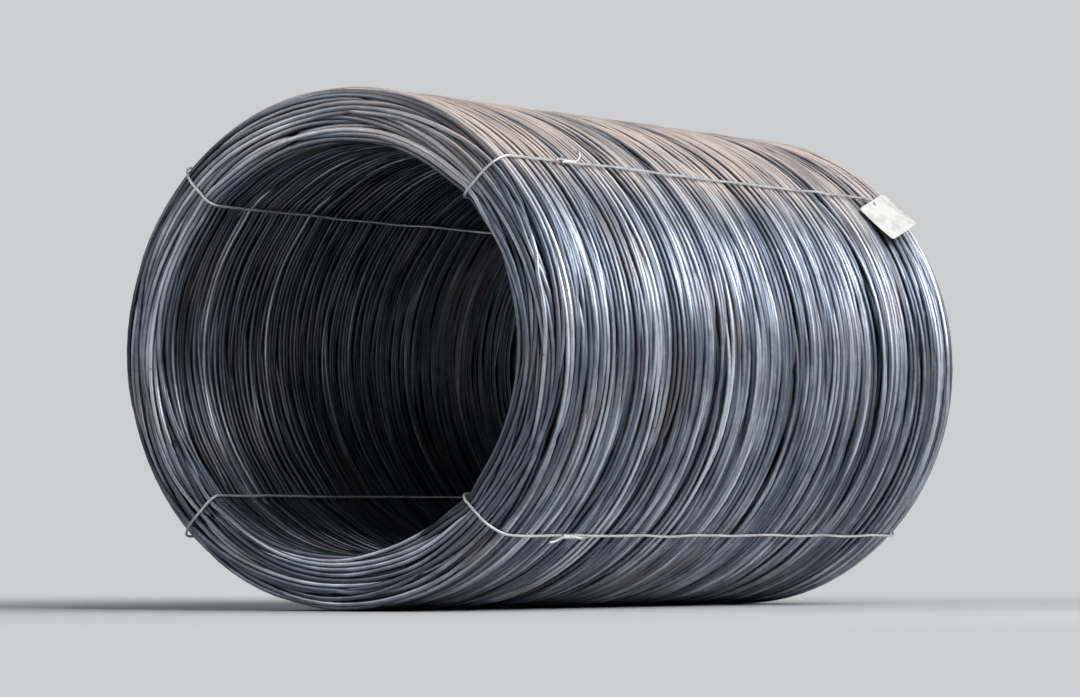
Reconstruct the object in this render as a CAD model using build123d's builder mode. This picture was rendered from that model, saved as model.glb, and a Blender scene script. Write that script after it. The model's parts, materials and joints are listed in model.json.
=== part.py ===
"""A coil of steel wire lying on its side, held by four ties and carrying a blank label.

The coil's axis lies along Y, its front end faces -Y and it rests on Z = 0. The origin is under its
middle. The coil is one turned solid: rows of turns ridge both ends, and the turns gather in
bunches along its side. Each tie is a closed loop of thinner wire, pulled along the side, over both
rounded ends and back through the bore, where it beds between the loose inner turns.
"""

import os
from math import cos, degrees, radians, sin, sqrt

from build123d import *

# Driving dimensions, in millimetres
coil_diameter = 1250
coil_length = 2100
wall = 135

# Ends: the inner lip is tight, the outer shoulder slack, and rows of turns ridge the face between.
# A thin wall limits both roundings.
lip_radius = 20
shoulder_radius = 55
lip_share_of_wall = 1 / 5
shoulder_share_of_wall = 1 / 2
turn_rows = 6
turn_groove = 7

# Side: the turns gather in bunches, whose widths from the front share the side, with dips between
bunch_shares = [9, 6, 7, 11, 14, 8, 5]
dip_width = 50
dip_depth = 14

# Ties: soft wire, its ends twisted together near the front end
tie_diameter = 6.5
tie_angles = {"upper_right": 45, "upper_left": 135, "lower_left": 225, "lower_right": 315}
tie_flats = 6
tie_gap = 0.3
tie_bed_gap = 0.2
tie_in_bore = 2
tie_lip_slack = 8
knot_length = 60
knot_from_front = 300
knot_twist_angle = 360
knot_section_count = 6

# Label: a blank card that hangs on a wire loop from the upper right tie, at the far end
label_tie = "upper_right"
label_width = 120
label_height = 120
label_thickness = 1.5
label_corner = 8
label_hole = 8
label_hole_from_edge = 12
label_gap = 0.3
label_below_tie = 26
hanger_width = 2.5
hanger_gap = 0.3

# Sizes that follow from those above
coil_radius = coil_diameter / 2
bore_radius = coil_radius - wall
half_length = coil_length / 2
lip = min(lip_radius, wall * lip_share_of_wall)
shoulder = min(shoulder_radius, wall * shoulder_share_of_wall)
side_half_length = half_length - shoulder
bunch_share = 2 * side_half_length / sum(bunch_shares)
centre = Vector(0, 0, coil_radius)
along = Vector(0, 1, 0)
tie_outer_run = coil_radius + tie_gap + tie_diameter / 2
tie_end_run = half_length + tie_gap + tie_diameter / 2
tie_inner_run = bore_radius - tie_in_bore + tie_diameter / 2
tie_corner_radius = tie_diameter / 2 / cos(radians(180 / tie_flats))


def outward(angle):
    """The direction from the coil's axis at an angle from +X towards +Z."""
    return Vector(cos(radians(angle)), 0, sin(radians(angle)))


def half_section(angle):
    """The plane through the axis at an angle: its x runs along the axis and its y outwards."""
    return Plane(origin=centre, x_dir=along, z_dir=along.cross(outward(angle)))


def end_turns():
    """Points from the bore to the side along the far end, out on each row of turns and in between.

    The rows follow the end's own outline: the lip, the face and the shoulder.
    """
    with BuildLine(mode=Mode.PRIVATE) as end:
        lip_end = (half_length, bore_radius + lip)
        shoulder_start = (half_length, coil_radius - shoulder)
        TangentArc((half_length - lip, bore_radius), lip_end, tangent=(1, 0))
        Line(lip_end, shoulder_start)
        TangentArc(shoulder_start, (side_half_length, coil_radius), tangent=(0, 1))
    outline = end.wire()
    points = [outline @ 0]
    for step in range(1, 2 * turn_rows):
        place = step / (2 * turn_rows)
        point = outline @ place
        if step % 2 == 0:
            point += (outline % place).rotate(Axis.Z, 90) * turn_groove
        points.append(point)
    points.append(outline @ 1)
    return [(point.X, point.Y) for point in points]


def dip_places():
    """Places of the dips along the axis, one between each two bunches, from the front."""
    return [-side_half_length + bunch_share * sum(bunch_shares[:i]) for i in range(1, len(bunch_shares))]


def side_dips():
    """Points along the side, from the far shoulder to the front one, three at each dip."""
    points = []
    for place in reversed(dip_places()):
        points.append((place + dip_width / 2, coil_radius))
        points.append((place, coil_radius - dip_depth))
        points.append((place - dip_width / 2, coil_radius))
    return points


def tie_route(plane):
    """The closed line of a tie in its half section: along the side and back through the bore."""
    shoulder_bend = shoulder + tie_gap + tie_diameter / 2
    lip_bend = lip + tie_lip_slack
    with BuildLine(plane, mode=Mode.PRIVATE) as route:
        FilletPolyline(
            (0, tie_inner_run),
            (tie_end_run, tie_inner_run),
            (tie_end_run, tie_outer_run),
            (-tie_end_run, tie_outer_run),
            (-tie_end_run, tie_inner_run),
            radius=[0, lip_bend, shoulder_bend, shoulder_bend, lip_bend],
            close=True,
        )
    return route.wire()


# The wire, as one turned solid with a bed in its bore for each tie
far_end = end_turns()
front_end = [(-x, y) for x, y in reversed(far_end)]
tie_loop = Face(tie_route(Plane.XY))
with BuildPart() as wire_coil:
    with BuildSketch(half_section(90)):
        with BuildLine():
            Polyline(far_end + side_dips() + front_end, close=True)
        make_face()
    revolve(axis=Axis(centre, along))
    for angle in tie_angles.values():
        with BuildSketch(half_section(angle)):
            offset(tie_loop, amount=tie_diameter / 2 + tie_bed_gap)
            offset(tie_loop, amount=-tie_diameter / 2 - tie_bed_gap, mode=Mode.SUBTRACT)
        extrude(amount=tie_corner_radius + tie_bed_gap, both=True, mode=Mode.SUBTRACT)

wire_coil.part.label = "wire_coil"

os.makedirs("parts", exist_ok=True)
export_step(wire_coil.part, "parts/wire_coil.step")

# The ties, each a closed loop with its two ends twisted together on the side
knot_radius = tie_diameter
knot_run = coil_radius + tie_gap + knot_radius
knot_start = -half_length + knot_from_front
for name, angle in tie_angles.items():
    tie_plane = half_section(angle)
    across = Plane(
        origin=tie_plane.from_local_coords((0, tie_inner_run, 0)), x_dir=outward(angle), z_dir=along
    )
    with BuildPart() as tie_wire:
        with BuildSketch(across):
            RegularPolygon(
                tie_diameter / 2, tie_flats, major_radius=False, rotation=180 / tie_flats
            )
        sweep(path=tie_route(tie_plane))
        for step in range(knot_section_count + 1):
            place = knot_start + knot_length * step / knot_section_count
            across = Plane(
                origin=tie_plane.from_local_coords((place, knot_run, 0)),
                x_dir=outward(angle).rotate(Axis.Y, knot_twist_angle * step / knot_section_count),
                z_dir=along,
            )
            with BuildSketch(across):
                Rectangle(2 * knot_radius, tie_diameter)
        loft(ruled=True)
    tie_wire.part.label = f"tie_wire_{name}"
    export_step(tie_wire.part, f"parts/tie_wire_{name}.step")

# The label, flat against the side below its tie, over the last dip before the far end
label_place = dip_places()[-1]
label_tie_angle = tie_angles[label_tie]
label_drop = label_below_tie + label_height / 2
label_angle = label_tie_angle - degrees(label_drop / coil_radius)
label_out = outward(label_angle)
label_plane = Plane(
    origin=centre + along * label_place + label_out * (coil_radius + label_gap),
    x_dir=along,
    z_dir=label_out,
)
hole_height = label_height / 2 - label_hole_from_edge
with BuildPart() as label_card:
    with BuildSketch(label_plane):
        RectangleRounded(label_width, label_height, label_corner)
        with Locations((0, hole_height)):
            Circle(label_hole / 2, mode=Mode.SUBTRACT)
    extrude(amount=label_thickness)

label_card.part.label = "label_card"
export_step(label_card.part, "parts/label_card.step")

# The hanger, a slim loop round the tie and through the hole in the label
tie_point = centre + along * label_place + outward(label_tie_angle) * tie_outer_run
hole_reach = sqrt((label_hole / 2) ** 2 - (hanger_width / 2) ** 2)
hang_height = hole_height + hole_reach - hanger_gap - hanger_width / 2
hole_point = label_plane.from_local_coords((0, hang_height, label_thickness / 2))
loop_height = tie_corner_radius + hanger_gap + hanger_width / 2
loop_span = (hole_point - tie_point).length - loop_height
loop_plane = Plane(
    origin=tie_point,
    x_dir=hole_point - tie_point,
    z_dir=along,
)
with BuildPart() as label_hanger:
    with BuildLine(loop_plane) as loop:
        Line((0, loop_height), (loop_span, loop_height))
        ThreePointArc(
            (loop_span, loop_height), (loop_span + loop_height, 0), (loop_span, -loop_height)
        )
        Line((loop_span, -loop_height), (0, -loop_height))
        ThreePointArc((0, -loop_height), (-loop_height, 0), (0, loop_height))
    with BuildSketch(Plane(origin=loop.wire() @ 0, x_dir=along, z_dir=loop.wire() % 0)):
        Rectangle(hanger_width, hanger_width)
    sweep(path=loop.wire())

label_hanger.part.label = "label_hanger"
export_step(label_hanger.part, "parts/label_hanger.step")
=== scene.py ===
"""Looks of a coil of steel wire that lies on a pale studio floor.

Every turn of the coil is here as wire of its own. The turns start as rings whose middles walk
round the coil's axis, as a laying head drops them, gathered in bunches along the axis. They are
then pushed apart where they cross. Four tie wires, twisted shut, and a blank label on a wire loop
complete the coil. Lengths are in metres, and angles in degrees from +X towards +Z.
"""

import json
import math

import bpy
import numpy as np
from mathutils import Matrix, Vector


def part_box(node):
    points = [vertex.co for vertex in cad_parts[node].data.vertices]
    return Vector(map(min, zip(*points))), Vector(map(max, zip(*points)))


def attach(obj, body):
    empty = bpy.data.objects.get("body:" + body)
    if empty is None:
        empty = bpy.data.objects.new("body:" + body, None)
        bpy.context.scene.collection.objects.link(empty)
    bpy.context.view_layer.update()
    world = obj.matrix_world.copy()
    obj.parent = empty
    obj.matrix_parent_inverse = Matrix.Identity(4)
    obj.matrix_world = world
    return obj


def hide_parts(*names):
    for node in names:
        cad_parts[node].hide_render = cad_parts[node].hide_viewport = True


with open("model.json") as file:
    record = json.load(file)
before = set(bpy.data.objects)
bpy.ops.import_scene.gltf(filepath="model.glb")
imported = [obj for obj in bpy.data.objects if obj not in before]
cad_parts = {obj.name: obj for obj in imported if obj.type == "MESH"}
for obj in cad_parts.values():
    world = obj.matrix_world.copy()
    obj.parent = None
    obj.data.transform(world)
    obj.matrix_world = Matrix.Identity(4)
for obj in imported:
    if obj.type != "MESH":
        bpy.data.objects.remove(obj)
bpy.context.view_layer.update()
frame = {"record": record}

TAU = 2 * math.pi

# The coil, as the frame has it
coil_low, coil_high = (Vector(corner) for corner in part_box("wire_coil"))
COIL_RADIUS = (coil_high.z - coil_low.z) / 2
BORE_RADIUS = frame["record"]["mounts"][0]["dims"]["r_mm"] / 1000
HALF_LENGTH = (coil_high.y - coil_low.y) / 2
CENTRE = Vector((0, 0, (coil_low.z + coil_high.z) / 2))

# Its outline: a lip and a shoulder at each end, and bunches along the side with dips between.
# SHOULDER_FALL is the share of a full rounding that the turns follow at the shoulder.
LIP = 0.020
SHOULDER = 0.055
SHOULDER_FALL = 0.9
BUNCH_SHARES = [9, 6, 7, 11, 14, 8, 5]
DIP_DEPTH = 0.016
DIP_HALF_WIDTH = 0.022
DIP_IN_BORE = 0.006

# The wire, drawn with so many stations in a turn, from the angle where its front end starts
WIRE_RADIUS = 0.006
WIRE_SIDES = 6
TURN_COUNT = 800
STATIONS = 84
COIL_PIECES = 6
START_ANGLE = 205

# Its tone, above 0 where it is brighter: by its depth under the side or the end, as rubbed wear on the
# outermost turns and painted shade on those deep inside, and in stretches
WEAR_AND_SHADE_DEPTHS = [0, 0.004, 0.015, 0.120]
WEAR_AND_SHADE_TONES = [0.48, 0.28, -0.8, -1.3]
LONG_TONES = (0.7, 5)
SHORT_TONES = (0.7, 0.8)

# How the turns fall: their middles go round the axis once in WALK_TURNS, at an uneven reach. The
# turns tilt and lean along the axis, bend, and sink a little under the side. Each waver along the
# wire is given as its size and the turns between its new values.
WALK_TURNS = 8
WALK_REACH = 1.33
WALK_SLOW = (0.9, 14)
WALK_QUICK = (0.25, 2)
REACH_MIDDLE = 0.93
REACH_WAVER = (0.1, 5)
REACH_LIMITS = (0.55, 1.15)
RADIUS_BENDS = (0.0025, 1 / 5)
TILT = (0.003, 3)
TILT_ROUND = 9
LEAN = (0.007, 22)
LEAN_ROUND = 30
QUICK_BENDS = (0.0025, 1 / 3.1)
SLOW_BENDS = (0.002, 1 / 1.3)
SUNK = (0.0025, 30)
MOST_SUNK = 0.006

# How they share the coil's length: closer at the ends, and drawn towards the middles of bunches
END_TURNS = 30
END_DEPTH = 0.030
END_GAP = 0.002
GATHER = 0.45
GATHER_WIDTH = 0.26
GATHER_FADE = 0.06
END_BUNCH_REACH = 0.2

# How far each dip strays on its way round the coil, how near to it turns follow, and the share of
# its second wave
DIP_SLANT = 0.0072
DIP_SLANT_REACH = 0.09
SECOND_WAVE = 0.5

# How they are pushed apart, each against the next RELAX_REACH turns
RELAX_ROUNDS = 400
RELAX_REACH = 25
PUSH = 0.275
EVEN_OUT = 0.12
MOST_STEP = 0.013
TINY = 1e-9

# Ties, and the room that the turns in the bore leave them
TIE_ANGLES = {"upper_right": 45, "upper_left": 135, "lower_left": 225, "lower_right": 315}
TIE_RADIUS = 0.00325
TIE_GAP = 0.0003
TIE_IN_BORE = 0.002
TIE_LIP_BEND = 0.028
TIE_SIDES = 8
TIE_ROOM = 0.0068
TIE_ROOM_ANGLE = 4

# A tie's line: how far past a knot or bend its straight runs start, and how it strays once it is
# free of the knot
KNOT_EASE = 0.006
BEND_EASE = 0.01
FREE_FROM = 0.03
FREE_OVER = 0.06
TIE_SWAY = 0.0016
TIE_SWAY_STEP = 7
TIE_LIFT = 0.0012
TIE_LIFT_STEP = 6
TIE_LIFT_DEPTH = 0.01

# The knot, and its two cut tails as (along, out, sideways) from its ends
KNOT_FROM_FRONT = 0.300
KNOT_LENGTH = 0.060
KNOT_TWISTS = 3.5
STRAND_REACH = 1.02
FRONT_TAIL = [
    (-0.058, 0.009, -0.013),
    (-0.044, 0.010, -0.010),
    (-0.030, 0.009, -0.006),
    (-0.016, 0.007, -0.0025),
    (-0.006, 0.0045, -0.0005),
]
BACK_TAIL = [
    (0.005, 0.0048, 0),
    (0.010, 0.008, 0.002),
    (0.015, 0.013, 0.006),
    (0.018, 0.017, 0.014),
    (0.020, 0.019, 0.022),
]

# The maps for baked textures: segments in one strip of a bent tube, and an end's radius
BENT_ROW = 40
END_IN_MAP = 0.4

# A direction that no bent tube starts along
ANY_WAY = (0.3, 0.5, 0.8)

# Label: a card that is turned about its hole, curls at its foot and follows some of the coil's curve
LABEL_TIE = "upper_right"
LABEL_WIDTH = 0.120
LABEL_HEIGHT = 0.120
LABEL_THICKNESS = 0.0009
LABEL_CORNER = 0.008
LABEL_HOLE_RADIUS = 0.004
LABEL_HOLE_FROM_EDGE = 0.012
LABEL_BELOW_TIE = 0.026
LABEL_TURNED = 14
LABEL_STANDS_OFF = 0.34
LABEL_CURL = 0.012
LABEL_CURL_POWER = 2.2
LABEL_WAVE = 0.0012
LABEL_WAVE_PACE = 60
LABEL_FOLLOWS = 0.3
LABEL_GAP = 0.0006
LABEL_RAYS = 96
LABEL_RINGS = 14
LABEL_RING_POWER = 1.3
LABEL_EDGE_HALVINGS = 40

# The label's wire loop: pinched between tie and hole, with a small bend through the hole
HANGER_RADIUS = 0.00115
HANGER_SIDES = 8
HANGER_GAP = 0.0005
HANGER_PINCH = 0.45
HANGER_LOW = 0.001
HANGER_BEND_DOWN = 0.0035
HANGER_BEND_OUT = 0.0037
HANGER_BEND_POINTS = 14
HANGER_RUN_POINTS = 9

# Colours, linear
DARK_SCALE = (0.044, 0.051, 0.067)
BLUE_SCALE = (0.175, 0.205, 0.260)
BARE_STEEL = (0.74, 0.79, 0.87)
BROWN_SCALE = (0.24, 0.195, 0.185)
RUST = (0.16, 0.075, 0.035)
# Pale warm dust on the top, partly painted warm top light
DUST_AND_TOP_LIGHT = (0.82, 0.68, 0.61)
DULL_TIE = (0.50, 0.51, 0.52)
BRIGHT_TIE = (0.84, 0.845, 0.85)
CARD_MARKS = (0.56, 0.54, 0.49)
CARD_WHITE = (0.73, 0.73, 0.715)
FLOOR = (0.63, 0.64, 0.65)
BACKDROP = (0.61, 0.62, 0.63, 1)
WORLD_LIGHT = (0.82, 0.85, 0.90, 1)

# Where the pale dust on the top, which is partly painted warm light on the top, begins and is full, by
# height and by how far a face looks up, and where it thins out, by depth under the outside, which
# leaves painted shade in the dips
TOP_DUST_AND_LIGHT_HEIGHTS = (0.96, 1.07)
TOP_DUST_AND_LIGHT_LEVELS = (0.15, 0.75)
DUST_AND_DIP_SHADE_DEPTHS = (0.003, 0.013)

# Studio: the floor's run into the backdrop, the world's light, and its share in reflections by
# height. Each softbox has its place, its aim, its size and its power.
FLOOR_SIZE = 160
FLOOR_FADE = (1.2, 3.4)
WORLD_STRENGTH = 0.09
SHINE_HEIGHTS = (0.05, 0.35)
SHINE_SHARES = (0.8, 0.1)
SOFTBOXES = {
    "key": ((6.2, -0.6, 4.1), (0.3, -0.2, 0.6), (10, 3.2), 515),
    "top": ((3.4, 0, 6.3), (0.2, 0, 0.8), (8, 3.6), 150),
    "fill": ((-4.5, -6.5, 4.5), (0, -1, 0.7), (3, 3), 125),
    "back": ((-6, 4.5, 3.6), (0, 0.4, 0.6), (4, 3), 90),
}

# Camera
LENS_MM = 180
SENSOR_MM = 36
CAMERA_OFF_AXIS = 30
CAMERA_DISTANCE = 13.7
CAMERA_HEIGHT = 0.16
CAMERA_AIM = (-0.025, -0.043, 0.655)

seeded = np.random.default_rng(4)


def smooth_noise(count, step):
    """A Catmull-Rom curve through random values of about unit size, one every step samples."""
    values = seeded.standard_normal(math.ceil(count / step) + 4)
    place = np.arange(count) / step + 1
    first = place.astype(int)
    t = place - first
    p0, p1, p2, p3 = (values[first + k] for k in (-1, 0, 1, 2))
    slope = p2 - p0
    return p1 + 0.5 * t * (slope + t * (2 * p0 - 5 * p1 + 4 * p2 - p3 + t * (3 * (p1 - p2) + p3 - p0)))


def waver(size, turns):
    """Smooth noise of a size along the whole wire, with a new value every so many turns."""
    return size * smooth_noise(TURN_COUNT * STATIONS, turns * STATIONS)


def apart_from(theta, angle):
    """How far each direction is from an angle in degrees, in radians."""
    return np.abs((theta - math.radians(angle) + math.pi) % TAU - math.pi)


# The coil's turns

side_half = HALF_LENGTH - SHOULDER
DIPS = side_half * (2 * np.cumsum(BUNCH_SHARES)[:-1] / sum(BUNCH_SHARES) - 1)


class Lay:
    """The middle of the wire at each station, as its place along the axis and its distance from it."""

    def __init__(self):
        self.turn = np.arange(TURN_COUNT * STATIONS) / STATIONS
        self.theta = TAU * ((self.turn + START_ANGLE / 360) % 1)
        self.drop_turns()
        self.along, self.radius = self.held(self.along, self.radius)

    def drop_turns(self):
        """Rings of one size fall with their middles off the axis, each a little farther round."""
        theta = self.theta
        walk = TAU * self.turn / WALK_TURNS + waver(*WALK_SLOW) + waver(*WALK_QUICK)
        most = (COIL_RADIUS - BORE_RADIUS) / 2 - WIRE_RADIUS
        offset = WALK_REACH * most * np.clip(REACH_MIDDLE + waver(*REACH_WAVER), *REACH_LIMITS)
        self.radius = (COIL_RADIUS + BORE_RADIUS) / 2 + offset * np.cos(theta - walk)
        self.radius += waver(*RADIUS_BENDS)
        self.along = self.bunched(self.spread())
        self.slant = self.dip_slants()
        self.along += self.slant
        self.along += waver(*TILT) * np.cos(theta - waver(TAU, TILT_ROUND))
        self.along += waver(*LEAN) * np.cos(theta - waver(TAU, LEAN_ROUND))
        self.along += waver(*QUICK_BENDS) + waver(*SLOW_BENDS)
        self.sunk = np.clip(waver(*SUNK), 0, MOST_SUNK)
        self.tie_room = sum(
            TIE_ROOM * np.exp(-((apart_from(theta, angle) / math.radians(TIE_ROOM_ANGLE)) ** 2))
            for angle in TIE_ANGLES.values()
        )

    def spread(self):
        """Even turns along the coil, packed closer at its two pressed ends."""
        reach = HALF_LENGTH - WIRE_RADIUS - END_GAP
        turns = [0, END_TURNS, TURN_COUNT - END_TURNS, TURN_COUNT]
        return np.interp(self.turn, turns, [-reach, END_DEPTH - reach, reach - END_DEPTH, reach])

    def bunched(self, along):
        """Draws the turns towards the middle of each bunch."""
        reach = HALF_LENGTH + END_BUNCH_REACH
        edges = np.concatenate([[-reach], DIPS, [reach]])
        bunch = np.clip(np.searchsorted(edges, along) - 1, 0, len(edges) - 2)
        width = edges[bunch + 1] - edges[bunch]
        place = (along - edges[bunch]) / width
        fade = np.clip((HALF_LENGTH - GATHER_FADE - np.abs(along)) / GATHER_FADE, 0, 1)
        return along + fade * GATHER * np.minimum(width, GATHER_WIDTH) * np.sin(TAU * place) / TAU

    def dip_slants(self):
        """How far each dip strays along the axis on its way round the coil."""
        slant = np.zeros_like(self.theta)
        for dip in DIPS:
            near = DIP_SLANT * np.exp(-(((self.along - dip) / DIP_SLANT_REACH) ** 2))
            a, b, c, d = seeded.standard_normal(4)
            slant += near * (a * np.cos(self.theta) + b * np.sin(self.theta))
            slant += SECOND_WAVE * near * (c * np.cos(2 * self.theta) + d * np.sin(2 * self.theta))
        return slant

    def held(self, along, radius):
        """Keeps the wire inside the coil's outline: its bore, lips, ends, shoulders, side and dips."""
        along = np.clip(along, WIRE_RADIUS - HALF_LENGTH, HALF_LENGTH - WIRE_RADIUS)
        shoulder = SHOULDER - WIRE_RADIUS
        past = np.clip((np.abs(along) - side_half) / shoulder, 0, 1)
        top = COIL_RADIUS - WIRE_RADIUS - SHOULDER_FALL * shoulder * (1 - np.sqrt(1 - past**2))
        dip = np.zeros_like(along)
        for place in DIPS:
            dip = np.maximum(dip, np.exp(-(((along - self.slant - place) / DIP_HALF_WIDTH) ** 2)))
        top -= DIP_DEPTH * dip + np.where(past > 0, 0, self.sunk)
        lip = LIP - WIRE_RADIUS
        past = np.clip((np.abs(along) - HALF_LENGTH + LIP) / lip, 0, 1)
        low = BORE_RADIUS + WIRE_RADIUS + lip * (1 - np.sqrt(1 - past**2))
        low += DIP_IN_BORE * dip + self.tie_room
        return along, np.clip(radius, low, top)

    def settle(self):
        """Pushes turns that cross apart, and draws those together that leave a gap between them."""
        start_along, start_radius = self.along.copy(), self.radius.copy()
        for _ in range(RELAX_ROUNDS):
            push_along = np.zeros_like(self.along)
            push_radius = np.zeros_like(self.along)
            for turns in range(1, RELAX_REACH + 1):
                ahead = turns * STATIONS
                along_gap = self.along[ahead:] - self.along[:-ahead]
                radius_gap = self.radius[ahead:] - self.radius[:-ahead]
                gap = np.sqrt(along_gap**2 + radius_gap**2) + TINY
                push = PUSH * np.maximum(2 * WIRE_RADIUS - gap, 0) / gap
                push_along[ahead:] += push * along_gap
                push_along[:-ahead] -= push * along_gap
                push_radius[ahead:] += push * radius_gap
                push_radius[:-ahead] -= push * radius_gap
            step = self.along[STATIONS:] - self.along[:-STATIONS]
            draw = PUSH * np.maximum(step - MOST_STEP, 0)
            push_along[STATIONS:] -= draw
            push_along[:-STATIONS] += draw
            moved_along = self.along + push_along - start_along
            moved_radius = self.radius + push_radius - start_radius
            for moved in (moved_along, moved_radius):
                moved[1:-1] += EVEN_OUT * (moved[2:] + moved[:-2] - 2 * moved[1:-1])
            self.along, self.radius = self.held(start_along + moved_along, start_radius + moved_radius)


def strip_map(mesh, segments, sides, row, ends):
    """Maps a tube for baked textures: strips of row segments, one above the other, then its ends."""
    i = np.arange(segments)[:, None]
    k = np.arange(sides)[None, :]
    rows = math.ceil(segments / row) + min(ends, 1)
    u = i % row / row + 0 * k
    v = (i // row + k / sides) / rows
    wide, high = 1 / row, 1 / sides / rows
    corners = [(u, v), (u, v + high), (u + wide, v + high), (u + wide, v)]
    places = np.stack([np.stack(corner, axis=-1) for corner in corners], axis=2).reshape(-1, 2)
    for number in range(ends):
        turn = TAU * np.arange(sides) / sides
        middle = np.array([number + 0.5, rows - 0.5])
        end = middle + END_IN_MAP * np.stack([np.cos(turn), np.sin(turn)], axis=1)
        places = np.concatenate([places, end / rows])
    mesh.uv_layers.new(name="OFBake").uv.foreach_set("vector", places.astype(np.float32).ravel())


def tube(name, points, side_way, up_way, radius, sides, row, closed=False):
    """A round tube along points, with its section spanned by two directions at each point."""
    count = len(points)
    turn = TAU * np.arange(sides) / sides
    sideways = side_way[:, None, :] * np.cos(turn)[None, :, None]
    upwards = up_way[:, None, :] * np.sin(turn)[None, :, None]
    vertices = (points[:, None, :] + radius * (sideways + upwards)).reshape(-1, 3)
    i = np.arange(count if closed else count - 1)[:, None]
    k = np.arange(sides)[None, :]
    here = i * sides
    there = (i + 1) % count * sides
    quads = np.stack([here + k, here + (k + 1) % sides, there + (k + 1) % sides, there + k], axis=-1)
    corners = quads.ravel()
    starts = np.arange(quads.size // 4) * 4
    ends = 0
    if not closed:
        last = (count - 1) * sides
        corners = np.concatenate([corners, np.arange(sides)[::-1], last + np.arange(sides)])
        starts = np.concatenate([starts, [quads.size, quads.size + sides]])
        ends = 2
    smooth = np.ones(len(starts), bool)
    smooth[len(starts) - ends:] = False
    mesh = bpy.data.meshes.new(name)
    mesh.vertices.add(len(vertices))
    mesh.vertices.foreach_set("co", vertices.astype(np.float32).ravel())
    mesh.loops.add(len(corners))
    mesh.loops.foreach_set("vertex_index", corners.astype(np.int32))
    mesh.polygons.add(len(starts))
    mesh.polygons.foreach_set("loop_start", starts.astype(np.int32))
    mesh.update(calc_edges=True)
    mesh.polygons.foreach_set("use_smooth", smooth)
    mesh.validate()
    strip_map(mesh, len(quads), sides, row, ends)
    piece = bpy.data.objects.new(name, mesh)
    bpy.context.collection.objects.link(piece)
    return piece


def bent_tube(name, points, radius, sides, closed=False):
    """A round tube along any line, its section carried along without twist."""
    points = np.asarray(points)
    if closed:
        ahead = np.roll(points, -1, axis=0) - np.roll(points, 1, axis=0)
    else:
        ahead = np.gradient(points, axis=0)
    ahead /= np.linalg.norm(ahead, axis=1)[:, None]
    side = np.cross(ahead[0], ANY_WAY)
    carried = []
    for direction in ahead:
        side = side - direction * side.dot(direction)
        side = side / np.linalg.norm(side)
        carried.append(side)
    carried = np.array(carried)
    return tube(name, points, carried, np.cross(ahead, carried), radius, sides, BENT_ROW, closed)


def point_value(piece, name, values):
    """Stores a number for each vertex, for the materials to read."""
    stored = piece.data.attributes.new(name, "FLOAT", "POINT")
    stored.data.foreach_set("value", values.astype(np.float32))


def coil_pieces():
    """The wire, as a few pieces that each hold a stretch of its turns."""
    lay = Lay()
    lay.settle()
    out = np.stack([np.cos(lay.theta), np.zeros_like(lay.theta), np.sin(lay.theta)], axis=1)
    way = np.tile([0.0, 1.0, 0.0], (len(out), 1))
    points = np.array(CENTRE) + out * lay.radius[:, None] + way * lay.along[:, None]
    length = np.concatenate([[0], np.cumsum(np.linalg.norm(np.diff(points, axis=0), axis=1))])
    tone_and_shade = waver(*LONG_TONES) + waver(*SHORT_TONES)
    depth = np.minimum(COIL_RADIUS - lay.radius, HALF_LENGTH - np.abs(lay.along)) - WIRE_RADIUS
    # Painted shade: turns are darker the deeper they lie under the outside; the outermost are
    # brighter, as rubbed wear
    tone_and_shade += np.interp(depth, WEAR_AND_SHADE_DEPTHS, WEAR_AND_SHADE_TONES)
    cuts = np.linspace(0, TURN_COUNT, COIL_PIECES + 1).astype(int) * STATIONS
    pieces = []
    for number, (first, last) in enumerate(zip(cuts[:-1], cuts[1:]), 1):
        part = slice(first, last + 1)
        name = f"coil_turns_{number}"
        piece = tube(name, points[part], out[part], way[part], WIRE_RADIUS, WIRE_SIDES, STATIONS)
        for stored, values in (("wire_length", length), ("wire_tone_and_shade", tone_and_shade), ("wire_depth", depth)):
            point_value(piece, stored, np.repeat(values[part], WIRE_SIDES))
        pieces.append(piece)
    return pieces


# Ties

TIE_SIDE_RUN = COIL_RADIUS + TIE_GAP + TIE_RADIUS
TIE_END_RUN = HALF_LENGTH + TIE_GAP + TIE_RADIUS
TIE_BORE_RUN = BORE_RADIUS - TIE_IN_BORE + TIE_RADIUS
TIE_SHOULDER_BEND = SHOULDER + TIE_GAP + TIE_RADIUS
KNOT_RUN = COIL_RADIUS + TIE_GAP + 2 * TIE_RADIUS
KNOT_START = KNOT_FROM_FRONT - HALF_LENGTH


def placed(angle, route):
    """Points in space of a route given as (along the axis, out from it, sideways) at an angle."""
    turn = math.radians(angle)
    out = np.array([math.cos(turn), 0, math.sin(turn)])
    side = np.array([-math.sin(turn), 0, math.cos(turn)])
    route = np.asarray(route)
    return np.array(CENTRE) + route[:, :1] * [0, 1, 0] + route[:, 1:2] * out + route[:, 2:3] * side


def run(start, end, step=0.02):
    """Points from start up to end, without end, at about even steps."""
    start, end = np.array(start), np.array(end)
    count = max(2, round(np.linalg.norm(end - start) / step))
    return [start + (end - start) * k / count for k in range(count)]


def bend(middle, radius, first, last, count=9):
    """Points on an arc in the tie's own plane, from one angle in degrees to another."""
    return [
        np.array([middle[0] + radius * math.cos(turn), middle[1] + radius * math.sin(turn), 0])
        for turn in np.radians(np.linspace(first, last, count))
    ]


def knot_strand(phase, count=70):
    """One of the two twisted ends, from the knot's front to its back."""
    reach = STRAND_REACH * TIE_RADIUS
    points = []
    for t in np.linspace(0, 1, count):
        turn = phase + TAU * KNOT_TWISTS * t
        out = KNOT_RUN + reach * math.cos(turn)
        points.append(np.array([KNOT_START + KNOT_LENGTH * t, out, reach * math.sin(turn)]))
    return points


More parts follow.
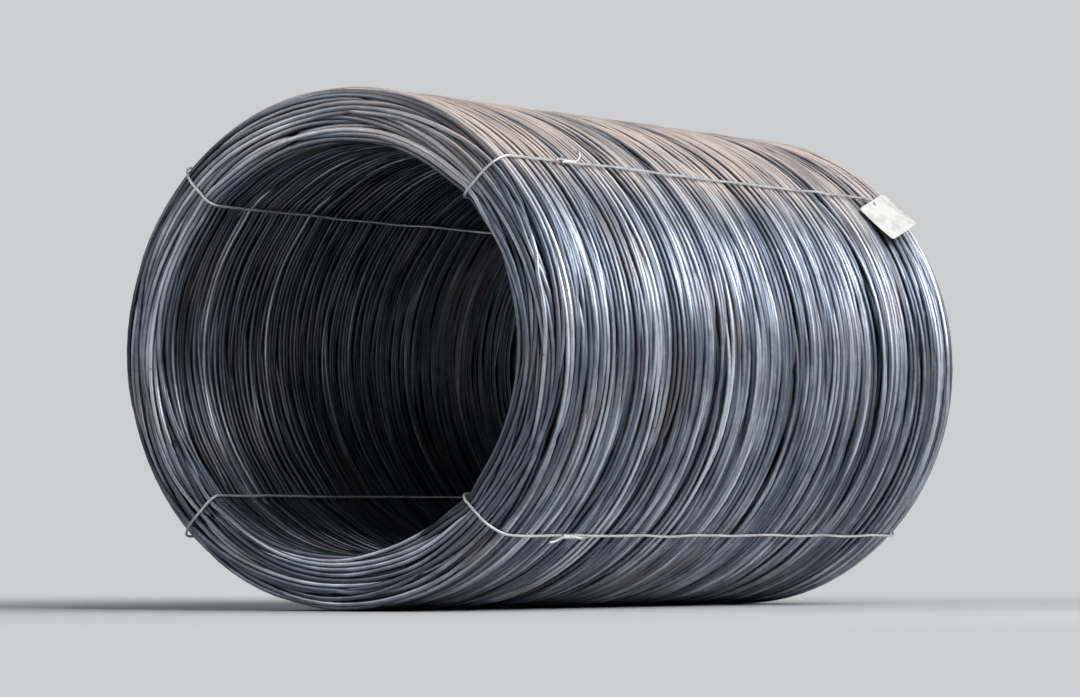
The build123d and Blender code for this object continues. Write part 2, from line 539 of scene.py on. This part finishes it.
def tie(name, angle):
    """A tie from one cut end to the other: twist, side, far end, bore, front end, side, twist."""
    wide, tight = TIE_SHOULDER_BEND, TIE_LIP_BEND
    end, low, high = TIE_END_RUN, TIE_BORE_RUN, TIE_SIDE_RUN
    knot_end = KNOT_START + KNOT_LENGTH
    route = [np.array([KNOT_START + run_on, KNOT_RUN + out, side]) for run_on, out, side in FRONT_TAIL]
    route += knot_strand(0)
    route += run((knot_end + KNOT_EASE, high, 0), (end - wide, high, 0))
    route += bend((end - wide, high - wide), wide, 90, 0)
    route += bend((end - tight, low + tight), tight, 0, -90)
    route += run((end - tight - BEND_EASE, low, 0), (tight - end, low, 0))
    route += bend((tight - end, low + tight), tight, -90, -180)
    route += bend((wide - end, high - wide), wide, 180, 90)
    route += run((wide - end + BEND_EASE, high, 0), (KNOT_START - KNOT_EASE, high, 0))
    route += knot_strand(math.pi)
    route += [np.array([knot_end + run_on, KNOT_RUN + out, side]) for run_on, out, side in BACK_TAIL]
    route = np.array(route)
    from_knot = np.abs(route[:, 0] - KNOT_START - KNOT_LENGTH / 2) - KNOT_LENGTH / 2
    free = np.clip((from_knot - FREE_FROM) / FREE_OVER, 0, 1)
    route[:, 2] += TIE_SWAY * free * smooth_noise(len(route), TIE_SWAY_STEP)
    lift = TIE_LIFT * free * np.abs(smooth_noise(len(route), TIE_LIFT_STEP))
    route[:, 1] += np.where(route[:, 1] > high - TIE_LIFT_DEPTH, lift, 0)
    piece = bent_tube(f"tie_{name}", placed(angle, route), TIE_RADIUS, TIE_SIDES)
    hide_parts(f"tie_wire_{name}")
    return piece


# Label

label_place = float(DIPS[-1])
label_drop = LABEL_BELOW_TIE + LABEL_HEIGHT / 2
label_angle = TIE_ANGLES[LABEL_TIE] - math.degrees(label_drop / COIL_RADIUS)
hole_height = LABEL_HEIGHT / 2 - LABEL_HOLE_FROM_EDGE


def outline_reach(turn):
    """How far the card's rounded edge is from the middle of its hole in a direction."""
    near, far = 0.0, LABEL_WIDTH + LABEL_HEIGHT
    for _ in range(LABEL_EDGE_HALVINGS):
        middle = (near + far) / 2
        x = abs(middle * math.cos(turn)) - LABEL_WIDTH / 2 + LABEL_CORNER
        y = abs(middle * math.sin(turn) + hole_height) - LABEL_HEIGHT / 2 + LABEL_CORNER
        outside = math.hypot(max(x, 0), max(y, 0)) + min(max(x, y), 0) - LABEL_CORNER
        if outside > 0:
            far = middle
        else:
            near = middle
    return near


def label_card():
    """A blank card with a hole, turned about its hole and standing off the coil at its far edge."""
    rays, rings = LABEL_RAYS, LABEL_RINGS
    flat = []
    for ring in range(rings + 1):
        for ray in range(rays):
            turn = TAU * ray / rays
            share = (ring / rings) ** LABEL_RING_POWER
            reach = LABEL_HOLE_RADIUS + (outline_reach(turn) - LABEL_HOLE_RADIUS) * share
            flat.append((reach * math.cos(turn), reach * math.sin(turn)))
    x, y = np.array(flat).T
    turned = math.radians(LABEL_TURNED)
    across = x * math.cos(turned) - y * math.sin(turned)
    up = x * math.sin(turned) + y * math.cos(turned) + hole_height
    down = np.clip(-y / LABEL_HEIGHT, 0, 1)
    lift = LABEL_STANDS_OFF * (across + LABEL_WIDTH / 2) + LABEL_CURL * down**LABEL_CURL_POWER
    lift += LABEL_WAVE * np.sin(LABEL_WAVE_PACE * x) - LABEL_FOLLOWS * up**2 / COIL_RADIUS
    layers = []
    for layer in (0, LABEL_THICKNESS):
        out = COIL_RADIUS + np.maximum(lift, LABEL_GAP) + layer
        layers.append(np.stack([label_place + across, out, up], axis=1))
    vertices = placed(label_angle, np.concatenate(layers))
    count = (rings + 1) * rays
    faces = []
    for ring in range(rings):
        for ray in range(rays):
            a, b = ring * rays + ray, ring * rays + (ray + 1) % rays
            faces.append((a, b, b + rays, a + rays))
            faces.append((a + count, a + rays + count, b + rays + count, b + count))
    for ray in range(rays):
        a, b = ray, (ray + 1) % rays
        faces.append((a, a + count, b + count, b))
        a, b = a + rings * rays, b + rings * rays
        faces.append((a, b, b + count, a + count))
    mesh = bpy.data.meshes.new("label_blank")
    mesh.from_pydata(vertices.tolist(), [], faces)
    mesh.validate()
    for face in mesh.polygons[: 2 * rings * rays]:
        face.use_smooth = True
    piece = bpy.data.objects.new("label_blank", mesh)
    bpy.context.collection.objects.link(piece)
    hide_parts("label_card")
    return piece


def label_loop():
    """A wire loop round the tie and through the hole."""
    tie_point = placed(TIE_ANGLES[LABEL_TIE], [(label_place, TIE_SIDE_RUN, 0)])[0]
    hole_out = COIL_RADIUS + LABEL_STANDS_OFF * LABEL_WIDTH / 2
    hole_out -= LABEL_FOLLOWS * hole_height**2 / COIL_RADIUS
    hole_point = placed(label_angle, [(label_place, hole_out, hole_height)])[0]
    down = hole_point - tie_point
    span = np.linalg.norm(down)
    down /= span
    out = np.cross(down, [0, 1, 0])
    out /= np.linalg.norm(out)
    reach = TIE_RADIUS + HANGER_RADIUS + HANGER_GAP
    low = hole_point + down * HANGER_LOW
    over_tie = np.radians(np.linspace(90, 270, HANGER_BEND_POINTS))
    through_hole = np.radians(np.linspace(-90, 90, HANGER_BEND_POINTS))
    between = np.linspace(0.1, 0.9, HANGER_RUN_POINTS)

    def on_side(t, side):
        """A point on one of the loop's two sides, a share t of the way from the tie to the hole."""
        from_middle = reach * (1 - HANGER_PINCH * math.sin(math.pi * t))
        return tie_point + down * span * t + side * out * from_middle

    points = [tie_point + reach * (down * math.cos(turn) + out * math.sin(turn)) for turn in over_tie]
    points += [on_side(t, -1) for t in between]
    for turn in through_hole:
        bent_down = down * HANGER_BEND_DOWN * math.cos(turn)
        points.append(low + bent_down + out * HANGER_BEND_OUT * math.sin(turn))
    points += [on_side(t, 1) for t in between[::-1]]
    piece = bent_tube("label_loop", points, HANGER_RADIUS, HANGER_SIDES, closed=True)
    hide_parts("label_hanger")
    return piece


# Materials


def set_span(node, source, target):
    """Sets the two spans of a Map Range node."""
    for name, number in zip(("From Min", "From Max", "To Min", "To Max"), (*source, *target)):
        node.inputs[name].default_value = number


class Finish:
    """A material, with short ways to add nodes and join them."""

    def __init__(self, name):
        self.material = bpy.data.materials.new(name)
        self.material.use_nodes = True
        self.tree = self.material.node_tree
        self.shader = self.tree.nodes["Principled BSDF"]

    def put(self, socket, value):
        """Sets a socket to a number or colour, or links another node's socket to it."""
        if isinstance(value, bpy.types.NodeSocket):
            self.tree.links.new(value, socket)
        elif isinstance(value, tuple):
            socket.default_value = (*value, 1)
        else:
            socket.default_value = value

    def feed(self, name, value):
        """Sets or links one of the shader's sockets."""
        self.put(self.shader.inputs[name], value)

    def math(self, operation, *values):
        """One operation on numbers."""
        made = self.tree.nodes.new("ShaderNodeMath")
        made.operation = operation
        for socket, value in zip(made.inputs, values):
            self.put(socket, value)
        return made.outputs[0]

    def noise(self, place, scale, detail=3, rough=0.55):
        """Cloudy values of about 0.3 to 0.7."""
        made = self.tree.nodes.new("ShaderNodeTexNoise")
        made.inputs["Scale"].default_value = scale
        made.inputs["Detail"].default_value = detail
        made.inputs["Roughness"].default_value = rough
        self.put(made.inputs["Vector"], place)
        return made.outputs["Fac"]

    def ramp(self, value, *stops):
        """A colour for a value, blended between stops of (value, colour)."""
        made = self.tree.nodes.new("ShaderNodeValToRGB")
        elements = made.color_ramp.elements
        while len(elements) < len(stops):
            elements.new(0.5)
        for element, (place, colour) in zip(elements, stops):
            element.position = place
            element.color = (*colour, 1)
        self.put(made.inputs["Fac"], value)
        return made.outputs["Color"]

    def span(self, value, low, high, to_low, to_high):
        """A value carried from one span to another, and held at its ends."""
        made = self.tree.nodes.new("ShaderNodeMapRange")
        self.put(made.inputs["Value"], value)
        set_span(made, (low, high), (to_low, to_high))
        return made.outputs["Result"]

    def mix(self, share, first, second):
        """A blend of two colours."""
        made = self.tree.nodes.new("ShaderNodeMix")
        made.data_type = "RGBA"
        colours = [socket for socket in made.inputs if socket.type == "RGBA"]
        self.put(made.inputs["Factor"], share)
        self.put(colours[0], first)
        self.put(colours[1], second)
        return next(socket for socket in made.outputs if socket.type == "RGBA")

    def attribute(self, name):
        """A number stored on the mesh."""
        made = self.tree.nodes.new("ShaderNodeAttribute")
        made.attribute_name = name
        return made.outputs["Fac"]

    def place(self):
        """The point on the object."""
        return self.tree.nodes.new("ShaderNodeTexCoord").outputs["Object"]

    def upward(self, vector):
        """The upward part of a vector."""
        made = self.tree.nodes.new("ShaderNodeSeparateXYZ")
        self.put(made.inputs[0], vector)
        return made.outputs["Z"]

    def bump(self, height, distance, strength):
        """Fine relief."""
        made = self.tree.nodes.new("ShaderNodeBump")
        made.inputs["Strength"].default_value = strength
        made.inputs["Distance"].default_value = distance
        self.put(made.inputs["Height"], height)
        self.feed("Normal", made.outputs["Normal"])


def wire_steel():
    """Hot-rolled wire under thin blue-grey scale, rubbed bright in streaks, with rust, with pale dust
    on the top that is partly painted top light, and with painted shade deep inside and in the dips.
    """
    steel = Finish("wire_steel")
    place = steel.place()
    line = steel.tree.nodes.new("ShaderNodeCombineXYZ")
    steel.put(line.inputs["X"], steel.attribute("wire_length"))
    streaks = steel.noise(line.outputs["Vector"], 1.7, 6, 0.65)
    shade = steel.math("MULTIPLY_ADD", steel.attribute("wire_tone_and_shade"), 0.07, streaks)
    scale = steel.ramp(shade, (0.30, DARK_SCALE), (0.50, BLUE_SCALE), (0.70, BARE_STEEL))
    patches = steel.noise(place, 5, 4)
    tinted = steel.mix(steel.span(patches, 0.5, 0.75, 0, 0.55), scale, BROWN_SCALE)
    specks = steel.span(steel.noise(place, 90, 3, 0.6), 0.66, 0.72, 0, 0.8)
    rust = steel.math("MULTIPLY", specks, steel.span(patches, 0.42, 0.6, 0, 1))
    rusted = steel.mix(rust, tinted, RUST)
    facing = steel.upward(steel.tree.nodes.new("ShaderNodeNewGeometry").outputs["Normal"])
    level = steel.span(facing, *TOP_DUST_AND_LIGHT_LEVELS, 0, 0.9)
    ragged = steel.math("MULTIPLY_ADD", steel.attribute("wire_tone_and_shade"), 0.03, steel.upward(place))
    topmost = steel.span(ragged, *TOP_DUST_AND_LIGHT_HEIGHTS, 0, 1)
    outermost = steel.span(steel.attribute("wire_depth"), *DUST_AND_DIP_SHADE_DEPTHS, 1, 0.15)
    # Pale warm dust on up-facing tops, partly painted top light; thinning it with depth leaves painted
    # shade in the dips
    dust_and_top_light = steel.math("MULTIPLY", steel.math("MULTIPLY", level, outermost), topmost)
    dust_and_top_light = steel.math("MULTIPLY", dust_and_top_light, steel.span(patches, 0.3, 0.6, 0.6, 1))
    steel.feed("Base Color", steel.mix(dust_and_top_light, rusted, DUST_AND_TOP_LIGHT))
    steel.feed("Metallic", steel.math("SUBTRACT", 0.9, dust_and_top_light))
    steel.feed("Roughness", steel.span(streaks, 0.3, 0.75, 0.50, 0.33))
    tangent = steel.tree.nodes.new("ShaderNodeTangent")
    tangent.direction_type = "RADIAL"
    tangent.axis = "Y"
    steel.feed("Tangent", tangent.outputs["Tangent"])
    steel.feed("Anisotropic", 0.5)
    steel.feed("Anisotropic Rotation", 0.25)
    steel.bump(steel.noise(place, 420, 2), 0.0002, 0.35)
    return steel.material


def tie_steel():
    """Bright soft wire, dulled here and there."""
    steel = Finish("tie_steel")
    dull = steel.noise(steel.place(), 14, 4)
    steel.feed("Base Color", steel.ramp(dull, (0.32, DULL_TIE), (0.62, BRIGHT_TIE)))
    steel.feed("Metallic", 0.6)
    steel.feed("Roughness", steel.span(dull, 0.3, 0.7, 0.55, 0.38))
    steel.bump(steel.noise(steel.place(), 500, 2), 0.0001, 0.3)
    return steel.material


def label_white():
    """A white card with handling marks and faint dust."""
    card = Finish("label_white")
    marks = card.noise(card.place(), 22, 5, 0.6)
    card.feed("Base Color", card.ramp(marks, (0.34, CARD_MARKS), (0.52, CARD_WHITE)))
    card.feed("Roughness", card.span(marks, 0.3, 0.7, 0.85, 0.65))
    card.bump(card.noise(card.place(), 160, 3), 0.0002, 0.2)
    return card.material


# Studio


def floor():
    """A plain pale floor that takes the object's shadow and runs out into the backdrop."""
    bpy.ops.mesh.primitive_plane_add(size=FLOOR_SIZE)
    plane = bpy.context.object
    plane.name = "studio_floor"
    pale = Finish("studio_floor")
    pale.feed("Base Color", FLOOR)
    pale.feed("Roughness", 0.9)
    pale.feed("Specular IOR Level", 0)
    tree = pale.tree
    far = tree.nodes.new("ShaderNodeEmission")
    far.inputs["Color"].default_value = BACKDROP
    away = tree.nodes.new("ShaderNodeVectorMath")
    away.operation = "LENGTH"
    pale.put(away.inputs[0], pale.place())
    paths = tree.nodes.new("ShaderNodeLightPath")
    seen = pale.math("MAXIMUM", paths.outputs["Is Camera Ray"], paths.outputs["Is Glossy Ray"])
    faded = pale.span(away.outputs["Value"], *FLOOR_FADE, 0, 1)
    blend = tree.nodes.new("ShaderNodeMixShader")
    pale.put(blend.inputs["Fac"], pale.math("MULTIPLY", faded, seen))
    pale.put(blend.inputs[1], pale.shader.outputs["BSDF"])
    pale.put(blend.inputs[2], far.outputs["Emission"])
    pale.put(tree.nodes["Material Output"].inputs["Surface"], blend.outputs["Shader"])
    plane.data.materials.append(pale.material)


def softbox(name, place, aim, size, power):
    """A rectangular lamp at a place, turned to its aim."""
    data = bpy.data.lights.new(name, "AREA")
    data.shape = "RECTANGLE"
    data.size, data.size_y = size
    data.energy = power
    lamp = bpy.data.objects.new(name, data)
    lamp.location = place
    lamp.rotation_euler = (Vector(aim) - Vector(place)).to_track_quat("-Z", "Y").to_euler()
    bpy.context.collection.objects.link(lamp)


def studio():
    """Softboxes, and a world that is pale where it's seen, darker overhead and dim as a light."""
    world = bpy.data.worlds.new("studio")
    bpy.context.scene.world = world
    world.use_nodes = True
    tree = world.node_tree
    link = tree.links.new
    dim = tree.nodes["Background"]
    dim.inputs["Color"].default_value = WORLD_LIGHT
    dim.inputs["Strength"].default_value = WORLD_STRENGTH
    seen = tree.nodes.new("ShaderNodeBackground")
    seen.inputs["Color"].default_value = BACKDROP
    direction = tree.nodes.new("ShaderNodeSeparateXYZ")
    link(tree.nodes.new("ShaderNodeTexCoord").outputs["Generated"], direction.inputs[0])
    height = tree.nodes.new("ShaderNodeMapRange")
    set_span(height, SHINE_HEIGHTS, SHINE_SHARES)
    link(direction.outputs["Z"], height.inputs["Value"])
    paths = tree.nodes.new("ShaderNodeLightPath")
    shine = tree.nodes.new("ShaderNodeMath")
    shine.operation = "MAXIMUM"
    link(paths.outputs["Is Camera Ray"], shine.inputs[0])
    link(height.outputs["Result"], shine.inputs[1])
    link(shine.outputs[0], seen.inputs["Strength"])
    either = tree.nodes.new("ShaderNodeMath")
    either.operation = "MAXIMUM"
    link(paths.outputs["Is Camera Ray"], either.inputs[0])
    link(paths.outputs["Is Glossy Ray"], either.inputs[1])
    blend = tree.nodes.new("ShaderNodeMixShader")
    link(either.outputs[0], blend.inputs["Fac"])
    link(dim.outputs[0], blend.inputs[1])
    link(seen.outputs[0], blend.inputs[2])
    link(blend.outputs[0], tree.nodes["World Output"].inputs["Surface"])
    for name, settings in SOFTBOXES.items():
        softbox(name, *settings)


def camera():
    """Near floor level and off the coil's axis to the right, as in the photograph."""
    data = bpy.data.cameras.new("camera")
    data.lens = LENS_MM
    data.sensor_width = SENSOR_MM
    eye = bpy.data.objects.new("camera", data)
    off_axis = math.radians(CAMERA_OFF_AXIS)
    beside, before = CAMERA_DISTANCE * math.sin(off_axis), CAMERA_DISTANCE * math.cos(off_axis)
    eye.location = (beside, -before, CAMERA_HEIGHT)
    eye.rotation_euler = (Vector(CAMERA_AIM) - eye.location).to_track_quat("-Z", "Y").to_euler()
    bpy.context.collection.objects.link(eye)
    bpy.context.scene.camera = eye


def dress(piece, material):
    """Gives a piece its material and ties it to the frame."""
    piece.data.materials.append(material)
    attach(piece, "root")


steel = wire_steel()
for piece in coil_pieces():
    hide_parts("wire_coil")
    dress(piece, steel)

bright = tie_steel()
for name, angle in TIE_ANGLES.items():
    dress(tie(name, angle), bright)
dress(label_loop(), bright)
dress(label_card(), label_white())

floor()
studio()
camera()
bpy.context.scene.view_settings.view_transform = "Standard"
